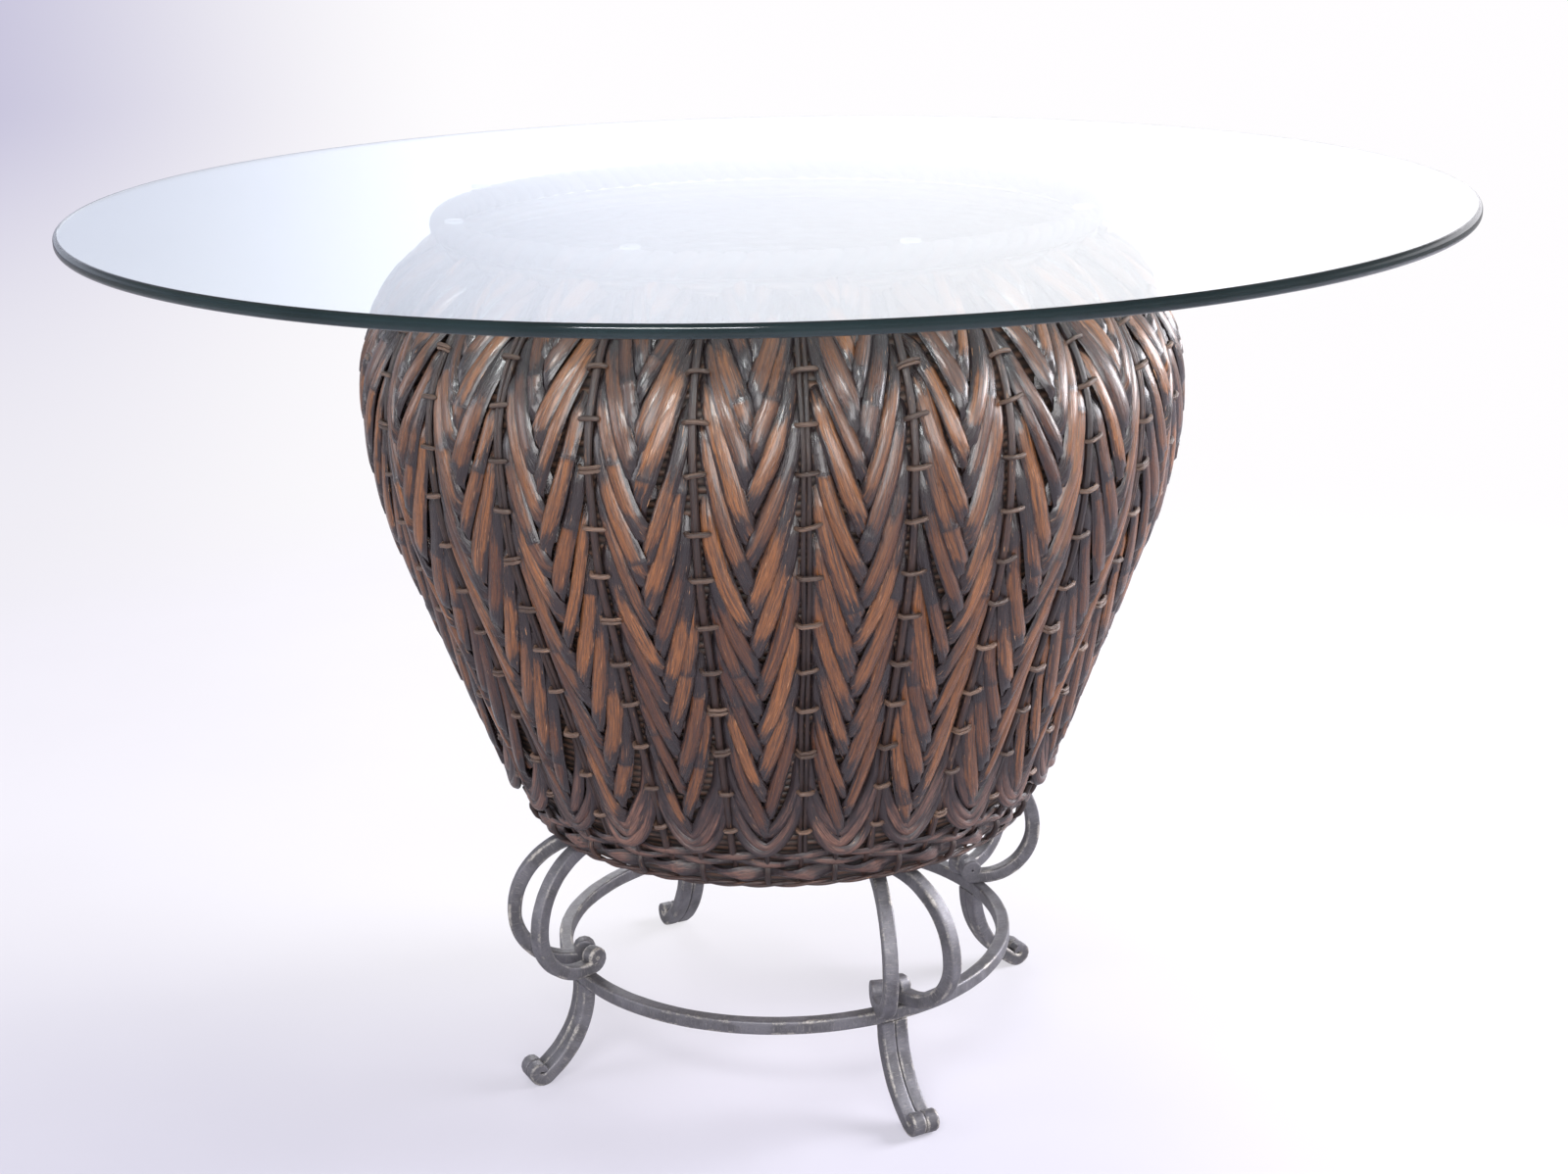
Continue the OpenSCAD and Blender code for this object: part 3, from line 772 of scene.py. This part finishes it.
def make_ties(material):
    rng = random.Random(SEED + 3)
    shape = Shape()
    x = np.linspace(-1, 1, 13)
    arch = 4.9 + 8.5 * smooth(-x, 0.3, 1.0) + 2.2 * smooth(x, 0.4, 1.0)
    blunt = 1 - 0.55 * smooth(np.abs(x), 0.86, 1.0)
    # Painted shade: both ends, set deeper in the wall where the left one tucks under a strand, are
    # darker.
    dark = 0.15 + 0.3 * smooth(np.abs(x), 0.7, 1.0)
    for c in range(COLUMNS):
        for n in range(TIES):
            s0 = (n + 0.5) * PITCH + rng.uniform(-2.5, 2.5)
            slant = rng.uniform(0.0, 0.24)
            spread = 0.66 + 0.34 * float(smooth(s0, 0, 240))
            reach_left = rng.uniform(9.0, 11.0) * spread
            reach_right = rng.uniform(10.0, 12.5) * spread
            u = np.where(x < 0, x * reach_left, x * reach_right)
            s = s0 + slant * u + rng.uniform(-1.2, 0.8) * x ** 2
            path = placed(wall_points(s, u, arch), STAKE_TURN + c * COLUMN_STEP)
            twin = rng.random() < 0.22
            radius = rng.uniform(1.8, 2.25) * (0.74 if twin else 1.0)
            for lane in ((-1, 1) if twin else (0,)):
                tube(shape, path + np.array([0, 0, lane * radius * MM]), radius,
                     tone=rng.random(), dark=dark[:, None], offset=rng.uniform(0, 40), grow=blunt)
    shape.finish("reed_ties", material, ["stake_ties"])


def band_line(h, depth, turn):
    """Points round the foot band at heights above the foot and depths behind its face."""
    r = BAND_BOTTOM_R + h * math.tan(BAND_LEAN) - depth / math.cos(BAND_LEAN)
    return round_axis(r, turn, FOOT_Z + h)


# Rows of the foot band: node, height of the middle, width, thickness, weave reach, phase, tilt
FOOT_ROWS = (
    ("foot_border", 13.4, 13.6, 3.8, 3.4, 0.0, 0.5),
    ("foot_row_lower", 24.5, 7.6, 3.0, 2.6, math.pi, 0.3),
    ("foot_row_upper", 32.0, 7.6, 3.0, 2.6, 0.0, 0.3),
)
ROW_DEPTH = 3.0
ROW_CROWN = 2.4
ROW_STEPS = 14 * COLUMNS


def make_foot_rows(material):
    rng = random.Random(SEED + 4)
    turn = turns(ROW_STEPS)
    beat = (turn - STAKE_TURN) * COLUMNS
    for node, height, width, thick, weave, phase, tilt in FOOT_ROWS:
        wave = np.cos(beat + phase)
        slow = noises(np.sin(turn) * 5, np.cos(turn) * 5, height)
        path = band_line(height + 2.0 * slow + 1.3 * np.sin(beat), ROW_DEPTH - weave * wave, turn)
        up = outward(path) * math.cos(BAND_LEAN)
        up[:, 2] += tilt * np.sin(beat) - math.sin(BAND_LEAN)
        out = np.concatenate([-ROW_CROWN * np.abs(TOP_ACROSS) ** 2.4, [-thick] * 3])
        section = np.stack([ACROSS * width / 2, out], axis=1) * MM
        tone = 0.5 + 0.45 * noises(np.sin(turn) * 4, np.cos(turn) * 4, 3)
        # Painted shade: each row is darker where it passes behind a stake; the slow noise is tone.
        dark = 0.75 - 0.6 * smooth(wave, -0.4, 0.9) + 0.25 * slow
        along = turn * BAND_BOTTOM_R * MM + rng.uniform(0, 40)
        shape = Shape()
        shape.rings(swept(path, section, up, closed=True), {
            "across": ACROSS_SHARE, "along": along[:, None], "tone": tone[:, None],
            "dark": dark[:, None]}, closed_run=True)
        shape.finish("cane_" + node, material, [node])


EDGE_MIDDLE = 3.1
EDGE_TWIST = 1.35
EDGE_REED_R = 1.7
EDGE_STEPS = 24 * COLUMNS


def make_foot_edge(material):
    """Two thin reeds twisted round each other along the bottom edge."""
    shape = Shape()
    turn = turns(EDGE_STEPS)
    for lane in range(2):
        twist = turn * COLUMNS + lane * math.pi
        path = band_line(EDGE_MIDDLE + EDGE_TWIST * np.cos(twist),
                         EDGE_MIDDLE + EDGE_TWIST * np.sin(twist), turn)
        tube(shape, path, EDGE_REED_R, closed=True, tone=0.3 + 0.4 * lane, dark=0.3,
             offset=3.0 * lane)
    shape.finish("reed_foot_edge", material, ["foot_edge"])


def make_foot_stakes(material):
    """Short stakes of the foot band; those between the columns' stakes pass over the border."""
    rng = random.Random(SEED + 5)
    shape = Shape()
    h = np.linspace(5.5, BAND_H - 1.0, 12)
    over_border = 3.4 - 3.6 * (1 - smooth(np.abs(h - 13.6), 4.0, 10.0))
    behind = 6.8
    for c in range(2 * COLUMNS):
        turn = STAKE_TURN + c * COLUMN_STEP / 2 + rng.uniform(-0.004, 0.004)
        path = band_line(h, over_border if c % 2 else behind, turn)
        tube(shape, path, rng.uniform(2.2, 2.6), tone=rng.random(), dark=0.2,
             offset=rng.uniform(0, 40))
    shape.finish("reed_foot_stakes", material, ["foot_stakes"])


# ---- rim ----

RIM_STEPS = 160
RIM_WRAPS = 96
WRAP_STEP = TAU / RIM_WRAPS
WRAP_STEPS = 16
WRAP_T = 2.4
# One turn of a wrap: places across its width, and how far each stands out from the core
WRAP_ACROSS = np.array([-1.0, -0.8, -0.4, 0.0, 0.4, 0.8, 1.0, 0.8, -0.8])
WRAP_OUT = np.array([0.5, 1.3, 1.8, 2.1, 1.8, 1.3, 0.5, 0.0, 0.0]) + 0.2


def make_rim(material):
    """Roll of the rim: flat strands laid round a core, each turn a little over the last."""
    rng = random.Random(SEED + 6)
    shape = Shape()
    core_r = RIM_D / 2 - WRAP_T
    tube(shape, round_axis(RIM_R, turns(RIM_STEPS), RIM_Z), core_r, sides=14, closed=True, tone=0.3,
         dark=0.8)
    around = turns(WRAP_STEPS)[:, None]
    out = core_r + WRAP_OUT
    for k in range(RIM_WRAPS):
        width = WRAP_STEP * rng.uniform(0.86, 0.99)
        tone = rng.random()
        along = rng.uniform(0, 40) + around * RIM_D / 2 * MM
        middle = k * WRAP_STEP + rng.uniform(-0.003, 0.003)
        turn = middle + WRAP_STEP / 2 * np.sin(around) + WRAP_ACROSS * width / 2
        made = round_axis(RIM_R + out * np.cos(around), turn, RIM_Z + out * np.sin(around))
        shape.rings(made, {"across": WRAP_ACROSS / 2 + 0.5, "along": along, "tone": tone,
                           "dark": 0.2 + 0.3 * rng.random()}, closed_run=True)
    shape.finish("cane_rim", material, ["rim"])


# ---- glass and pads ----

GLASS_R = 579.0
GLASS_T = 10.0
GLASS_EDGE = 4.0
GLASS_Z = 752.023
GLASS_STEPS = 360
PADS = 8
PAD_STEPS = 28
# Rings of a pad, from its foot to its top: radius, height
PAD_RINGS = ((7.0, 749.25), (7.8, 749.6), (8.0, 750.2), (7.9, 751.2), (7.2, 751.9))


def profile_rings(profile, steps):
    """Rings of points from a profile of (radius, height) round the axis."""
    radius, height = np.array(profile).T[..., None]
    return round_axis(radius, turns(steps), height)


def make_glass(material):
    flat_r = GLASS_R - GLASS_EDGE
    bend = np.linspace(-math.pi / 2, 0, 9)
    lower = [(flat_r * 0.5, 0), (flat_r - 0.4, 0)]
    lower += [(flat_r + GLASS_EDGE * math.cos(a), GLASS_EDGE * (1 + math.sin(a))) for a in bend]
    profile = [(r, GLASS_Z + z) for r, z in lower]
    profile += [(r, GLASS_Z + GLASS_T - z) for r, z in lower[::-1]]
    shape = Shape()
    shape.rings(profile_rings(profile, GLASS_STEPS), {}, capped=False)
    top = len(shape.points) - GLASS_STEPS
    shape.points += [(0, 0, GLASS_Z * MM), (0, 0, (GLASS_Z + GLASS_T) * MM)]
    for j in range(GLASS_STEPS):
        k = (j + 1) % GLASS_STEPS
        shape.faces.append((top + GLASS_STEPS, k, j))
        shape.faces.append((top + j, top + k, top + GLASS_STEPS + 1))
    return shape.finish("glass_disc", material, ["glass_top"], sharp=80.0, body="glass")


def make_pads(material):
    """Clear pads with a rounded top edge, standing on the rim."""
    shape = Shape()
    for n in range(PADS):
        centre = round_axis(RIM_R, (n + 0.5) * TAU / PADS, 0)
        shape.rings(centre + profile_rings(PAD_RINGS, PAD_STEPS), {})
    shape.finish("clear_pads", material, ["glass_pads"], sharp=50.0)


# ---- iron base ----

BAR = 12.0
BAR_CORNER = 1.7
LEG_TURN = math.radians(26.45)
HOOP_R = 199.0
HOOP_STEPS = 300
LEG_H = 86.0
LEG_TOP_RUN = 2.0
LEG_SWEEP = math.radians(52)
TOE_RUN = 8.0
TOE_R = 10.0
TOE_ROLL = math.radians(265)
LEG_CURVE = (LEG_H - BAR / 2 - LEG_TOP_RUN - TOE_RUN * math.cos(LEG_SWEEP)
             - TOE_R * (1 - math.sin(LEG_SWEEP))) / math.sin(LEG_SWEEP)
LEG_GAP = 0.4
SEAT = 0.1
FLOOR_GAP = 0.006
SCROLL_OFFSET = 12.5
SCROLL_RUN = 7.0
SCROLL_END = 3.0
SCROLL_SPLAY = math.radians(18.5)
SCROLL_LOW = 46.0
SCROLL_HIGH = 70.0
HAMMER = 0.3
END_TAPER = 0.16
END_SET = 0.8
END_WEAR = 0.7


def square_section():
    """Square bar with rounded corners, and how near each point is to a corner."""
    flat = BAR / 2 - BAR_CORNER
    turn = np.arange(4) * math.pi / 6
    corner = flat * (1 + 1j) + BAR_CORNER * np.exp(1j * turn)
    side = flat * np.array([0.5, 0, -0.5]) + 1j * BAR / 2
    quarter = np.concatenate([corner, side])
    points = np.concatenate([quarter * 1j ** q for q in range(4)])
    return np.stack([points.real, points.imag]), np.tile([1.0] * 4 + [0.25, 0.0, 0.25], 4)


SECTION, NEAR_CORNER = square_section()
SECTION_SHARE = np.arange(len(NEAR_CORNER)) / len(NEAR_CORNER)


def hammered(middle, offset, coarse, fine, fine_depth, shift=(0, 0, 0)):
    """The points of a bar round its middle line, moved in and out by shallow hammer marks."""
    points = middle + offset
    dent = HAMMER * noises(*np.moveaxis(points * coarse + shift, -1, 0))
    dent += fine_depth * noises(*np.moveaxis(points * fine + shift, -1, 0))
    return middle + offset * (1 + dent / BAR)[..., None]


def straight(length):
    return length, 0, 0, BAR


def arc(radius, angle, thick=BAR):
    return radius * angle, 1 / radius, 1 / radius, thick


def bar_path(start, heading, runs):
    """Walks runs of (length, curvature at start, curvature at end, thickness at end)."""
    x, y = start
    out = [(x, y, heading, BAR)]
    for length, k0, k1, t1 in runs:
        count = max(2, math.ceil(length / 2.5))
        t0 = out[-1][3]
        for i in range(count):
            bend = (k0 + (k1 - k0) * (i + 0.5) / count) * length / count
            x += math.cos(heading + bend / 2) * length / count
            y += math.sin(heading + bend / 2) * length / count
            heading += bend
            out.append((x, y, heading, t0 + (t1 - t0) * (i + 1) / count))
    return np.array(out)


def forged(path, seed):
    """Rows of a square bar along a path in a plane; a thinner row rounds off each end."""
    rng = random.Random(seed)
    shift = [rng.uniform(0, 50) for _ in range(3)]
    x, y, heading, thick = path.T[..., None]
    level = 0 * x
    side, out = SECTION
    out = out * thick / BAR
    middle = np.stack([x, level, y], axis=-1)
    offset = np.stack([-np.sin(heading) * out, side + level, np.cos(heading) * out], axis=-1)
    rows = hammered(middle, offset, 0.09, 0.3, 0.08, shift)
    run = run_lengths(path[:, :2]) * MM + rng.uniform(0, 9)
    first, last = (row + (row.mean(0) - row) * END_TAPER for row in (rows[0], rows[-1]))
    way = np.stack([np.cos(heading), level, np.sin(heading)], axis=-1)
    rows[0] += way[0] * END_SET
    rows[-1] -= way[-1] * END_SET
    rows = np.concatenate([[first], rows, [last]])
    run = np.concatenate([[run[0] - MM], run, [run[-1] + MM]])
    corner = np.tile(NEAR_CORNER, (len(rows), 1))
    corner[[0, 1, -2, -1]] = np.maximum(NEAR_CORNER, END_WEAR)
    return rows, {"corner": corner, "along": run[:, None], "across": SECTION_SHARE}


def make_pairs(kind, path, seed, set_out, material):
    """Four pairs of bars; set_out moves the rows of a bar out to its side of the pair."""
    for n in range(4):
        for side, label in ((-1, "left"), (1, "right")):
            rows, values = forged(path, seed + n * 2 + side)
            shape = Shape()
            shape.rings(placed(set_out(rows, side), LEG_TURN + n * math.pi / 2), values)
            name = "%s_%d_%s" % (kind, n + 1, label)
            shape.finish("iron_" + name, material, [name], sharp=32.0)


def make_legs(material):
    """Leg bars: down, out, then a toe that thins as it rolls up."""
    path = bar_path((HOOP_R, LEG_H - SEAT), -math.pi / 2, [
        straight(LEG_TOP_RUN), arc(LEG_CURVE, LEG_SWEEP), straight(TOE_RUN),
        arc(TOE_R, math.pi / 2 - LEG_SWEEP, BAR - 0.2), (TOE_ROLL * 5.4, 1 / 8.6, 1 / 3.7, 6.4)])

    def set_out(rows, side):
        rows[..., 1] += side * (BAR + LEG_GAP) / 2
        rows[..., 2] = np.maximum(rows[..., 2], FLOOR_GAP)
        return rows

    make_pairs("leg", path, 100, set_out, material)


def make_scrolls(material):
    """Scrolls: a rolled knob, a seat on the hoop, then a long C."""
    knob = bar_path((0, 0), math.pi, [(4.0, 0, 0, BAR - 0.4), (38.0, -1 / 8.4, -1 / 3.6, 6.6)])
    knob[:, 2] += math.pi
    rise = bar_path((0, 0), 0.0, [straight(SCROLL_RUN), arc(SCROLL_LOW, math.pi / 2),
                                  arc(SCROLL_HIGH, math.pi / 2), straight(SCROLL_END)])
    # The path starts at the knob's tip and runs out along the seat
    path = np.concatenate([knob[:0:-1], rise])
    path[:, 2] = np.unwrap(path[:, 2])

    def set_out(rows, side):
        seat = (HOOP_R, side * SCROLL_OFFSET, LEG_H + BAR * 1.5 + SEAT)
        return turned(rows, side * SCROLL_SPLAY) + seat

    make_pairs("scroll", path, 200, set_out, material)


def make_hoop(material):
    turn = turns(HOOP_STEPS)[:, None]
    way = np.stack([np.sin(turn), -np.cos(turn), 0 * turn], axis=-1)
    up = np.array([0, 0, 1])
    offset = SECTION[0][:, None] * way + SECTION[1][:, None] * up
    rows = hammered(way * HOOP_R + up * (LEG_H + BAR / 2), offset, 0.05, 0.22, 0.1)
    shape = Shape()
    shape.rings(rows * MM, {"corner": NEAR_CORNER, "along": turn * HOOP_R * MM,
                            "across": SECTION_SHARE}, closed_run=True)
    shape.finish("iron_hoop", material, ["base_hoop"], sharp=32.0)


# ---- floor, backdrop, light ----

STAGE_STEPS = 96
FLOOR_RADII = (0.4, 1.0, 2.0, 4.0, 9.0, 40.0)
BACKDROP_R = 17.0
BACKDROP_H = 9.0


def stage_piece(name, points, faces, material):
    mesh = bpy.data.meshes.new(name)
    mesh.from_pydata(points, [], faces)
    mesh.materials.append(material)
    return add_object(name, mesh)


def make_floor():
    """A pale floor, shaded near the table and dim toward the far left, as in the photo."""
    made, w, out = new_material("pale_floor")
    place = w.place()
    x, y, _ = w.split(place)
    speck = w.fit(w.noise(place, 3.0, 3.0), 0.3, 0.7)
    plain = w.mix(speck, (0.54, 0.525, 0.59, 1), (0.565, 0.55, 0.615, 1))
    away = w.larger(w.plus(y, 2.1), 1.4)
    aside = w.math("DIVIDE", x, away)
    radius = w.length(place)
    # Painted shade: the floor's colour is darker in front of the table and toward the far left.
    near = w.times(w.fit(y, -0.35, 0.35, 1.0, 0.0), w.fit(aside, -0.05, 0.3, 1.0, 0.9))
    near = w.times(near, w.fit(radius, 0.9, 2.4, 1.0, 0.0))
    left = w.times(w.fit(aside, -0.34, -0.1, 1.0, 0.0), w.fit(away, 2.6, 11.0, 0.25, 1.0))
    left = w.times(left, w.fit(radius, 18.0, 36.0, 1.0, 0.0))
    tint = w.mix(near, (1.0, 0.985, 1.0, 1), (0.63, 0.615, 0.72, 1))
    tint = w.mix(left, tint, (0.55, 0.53, 0.70, 1))
    rays = w.rays()
    # Painted darker reflection: glossy rays see the floor as a dim grey.
    lit = w.blend(rays["Is Glossy Ray"], w.node("BsdfDiffuse", {"Color": plain}),
                  w.node("BsdfDiffuse", {"Color": (0.3, 0.29, 0.33, 1)}))
    share = w.larger(w.fit(radius, 0.4, 2.2), w.fit(y, -0.15, 0.25, 0.5, 0.72))
    share = w.larger(w.times(w.seen(rays), share), 0.35)
    w.put(out["Surface"], w.blend(share, lit, w.node("Emission", {"Color": tint})))
    points = [(0, 0, 0)]
    faces = [(0, 1 + a, 1 + (a + 1) % STAGE_STEPS) for a in range(STAGE_STEPS)]
    for i, r in enumerate(FLOOR_RADII):
        points += [(r * math.cos(a), r * math.sin(a), 0) for a in turns(STAGE_STEPS)]
        for a in range(STAGE_STEPS if i else 0):
            high = 1 + i * STAGE_STEPS
            low = high - STAGE_STEPS
            b = (a + 1) % STAGE_STEPS
            faces.append((low + a, high + a, high + b, low + b))
    floor = stage_piece("studio_floor", points, faces, made)


def make_world():
    world = bpy.data.worlds.new("studio")
    bpy.context.scene.world = world
    w, out = emptied(world, "OutputWorld")
    light = w.node("Background", {"Color": (0.95, 0.95, 1.0, 1), "Strength": 0.26})
    white = w.node("Background", {"Color": (1, 1, 1, 1), "Strength": 1.0})
    w.put(out["Surface"], w.blend(w.seen(w.rays()), light, white))


def make_backdrop():
    """A pale wall far round the table, bright behind it: the glass mirrors it."""
    made, w, out = new_material("bright_backdrop")
    x, y, z = w.split(w.place())
    tint = w.mix(w.fit(x, -5.0, 3.0), (0.81, 0.845, 1.0, 1), (0.965, 0.955, 1.0, 1))
    behind = w.times(w.fit(y, -6.0, 13.0), w.fit(z, 4.6, 8.8, 1.0, 0.0))
    rays = w.rays()
    in_glass = w.times(rays["Is Singular Ray"], w.fit(y, -6.0, 3.0, 0.92, 0.26))
    bright = w.larger(w.times(w.fit(x, -5.2, -0.6, 0.92, 1.66), behind), 0.4)
    pale = w.larger(w.times(behind, 0.6), 0.26)
    dim, glow = (w.node("Emission", {"Color": tint, "Strength": w.larger(strength, in_glass)})
                 for strength in (pale, bright))
    w.put(out["Surface"], w.blend(rays["Is Glossy Ray"], dim, glow))
    points = [(BACKDROP_R * math.sin(a), BACKDROP_R * math.cos(a), height)
              for a in turns(STAGE_STEPS) for height in (0.0, BACKDROP_H)]
    count = len(points)
    faces = [(k, k + 1, (k + 3) % count, (k + 2) % count) for k in range(0, count, 2)]
    wall = stage_piece("studio_backdrop", points, faces, made)
    wall.visible_camera = False


# Lamps: name, place, height on the axis that they face, size, power, colour, sparing the glass
LAMPS = (
    ("high_front", (-0.7, -2.5, 2.4), 0.5, (1.2, 0.5), 56, (1, 0.99, 1), False),
    ("front_fill", (0.5, -3.0, 1.1), 0.35, (2.4, 1.4), 96, (1, 0.985, 0.99), True),
    ("overhead", (0.2, 0.2, 3.0), 0.4, (2.4, 1.8), 31, (1, 1, 1), True),
    ("side_left", (-2.7, -0.5, 1.2), 0.35, (1.2, 1.8), 38, (0.96, 0.95, 1), True),
    ("side_right", (2.75, 0.5, 1.5), 0.45, (1.6, 1.8), 215, (0.96, 0.95, 1), True),
    ("back_fill", (-0.8, 3.0, 1.9), 0.3, (2.0, 1.2), 50, (1, 0.99, 1), True),
)


def make_lights(glass):
    """Soft lamps. A spared glass neither gets a lamp's light nor mirrors its outline."""
    all_but_glass = bpy.data.collections.new("all_but_glass")
    all_but_glass.objects.link(glass)
    all_but_glass.collection_objects[0].light_linking.link_state = "EXCLUDE"
    for name, place, height, size, power, colour, spares in LAMPS:
        data = bpy.data.lights.new(name, "AREA")
        data.shape = "RECTANGLE"
        data.size, data.size_y = size
        data.energy = power
        data.color = colour
        lamp = add_object(name, data)
        way = Vector((0, 0, height)) - Vector(place)
        lamp.rotation_euler = way.to_track_quat("-Z", "Y").to_euler()
        lamp.location = place
        if spares:
            lamp.light_linking.receiver_collection = all_but_glass


# ---- the table ----

# Finishes of cane and reed: what differs from the group's own values, and the coat
CANES = {
    "strand_cane": ({}, 0.35),
    "foot_cane": ({
        "Bark": (0.06, 0.032, 0.028, 1), "Pale bark": (0.19, 0.09, 0.062, 1),
        "Stain and shade": (0.018, 0.013, 0.015, 1), "Shade and stain reach": 0.8,
        "Roughness low": 0.32, "Roughness high": 0.56}, 0.12),
    "stake_reed": ({
        "Bark": (0.022, 0.011, 0.008, 1), "Pale bark": (0.058, 0.028, 0.02, 1),
        "Roughness low": 0.34, "Roughness high": 0.6}, 0.05),
    "tie_reed": ({
        "Bark": (0.055, 0.032, 0.023, 1), "Pale bark": (0.17, 0.1, 0.068, 1),
        "Stain and shade": (0.02, 0.013, 0.012, 1), "Shade and stain reach": 0.6,
        "Roughness low": 0.36, "Roughness high": 0.6}, 0.0),
    "rim_cane": ({
        "Bark": (0.035, 0.016, 0.012, 1), "Pale bark": (0.085, 0.036, 0.024, 1),
        "Roughness low": 0.4, "Roughness high": 0.6}, 0.05),
}


def dress_cad(node, material):
    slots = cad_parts[node].data.materials
    for i in range(len(slots)):
        slots[i] = material


def main():
    bpy.context.scene.view_settings.view_transform = "Standard"
    make_camera()
    grain = make_cane_group()
    strands, foot, stakes, ties, rim = (
        cane_material(name, grain, *facts) for name, facts in CANES.items())
    wear = make_wear_group()
    iron = iron_material("forged_iron", wear, 1.0)
    make_strands(strands)
    make_foot_turns(foot)
    make_stakes(stakes)
    make_ties(ties)
    make_foot_rows(foot)
    make_foot_edge(rim)
    make_foot_stakes(stakes)
    make_rim(rim)
    glass = make_glass(glass_material("clear_glass", (0.965, 0.985, 0.98, 1),
                                      (0.93, 0.965, 0.96, 1), 1.52, deep=True))
    make_pads(glass_material("clear_pad", (0.95, 0.96, 0.96, 1), (0.9, 0.92, 0.92, 1), 1.45))
    make_legs(iron)
    make_scrolls(iron)
    make_hoop(iron)
    dress_cad("floor_ring", iron)
    dress_cad("floor_screws", iron_material("screw_steel", wear, 0.4))
    dress_cad("basket_floor", painted("floor_board", board_paint))
    dress_cad("inner_ply", painted("inner_weave", ply_paint))
    make_floor()
    make_backdrop()
    make_world()
    make_lights(glass)


main()
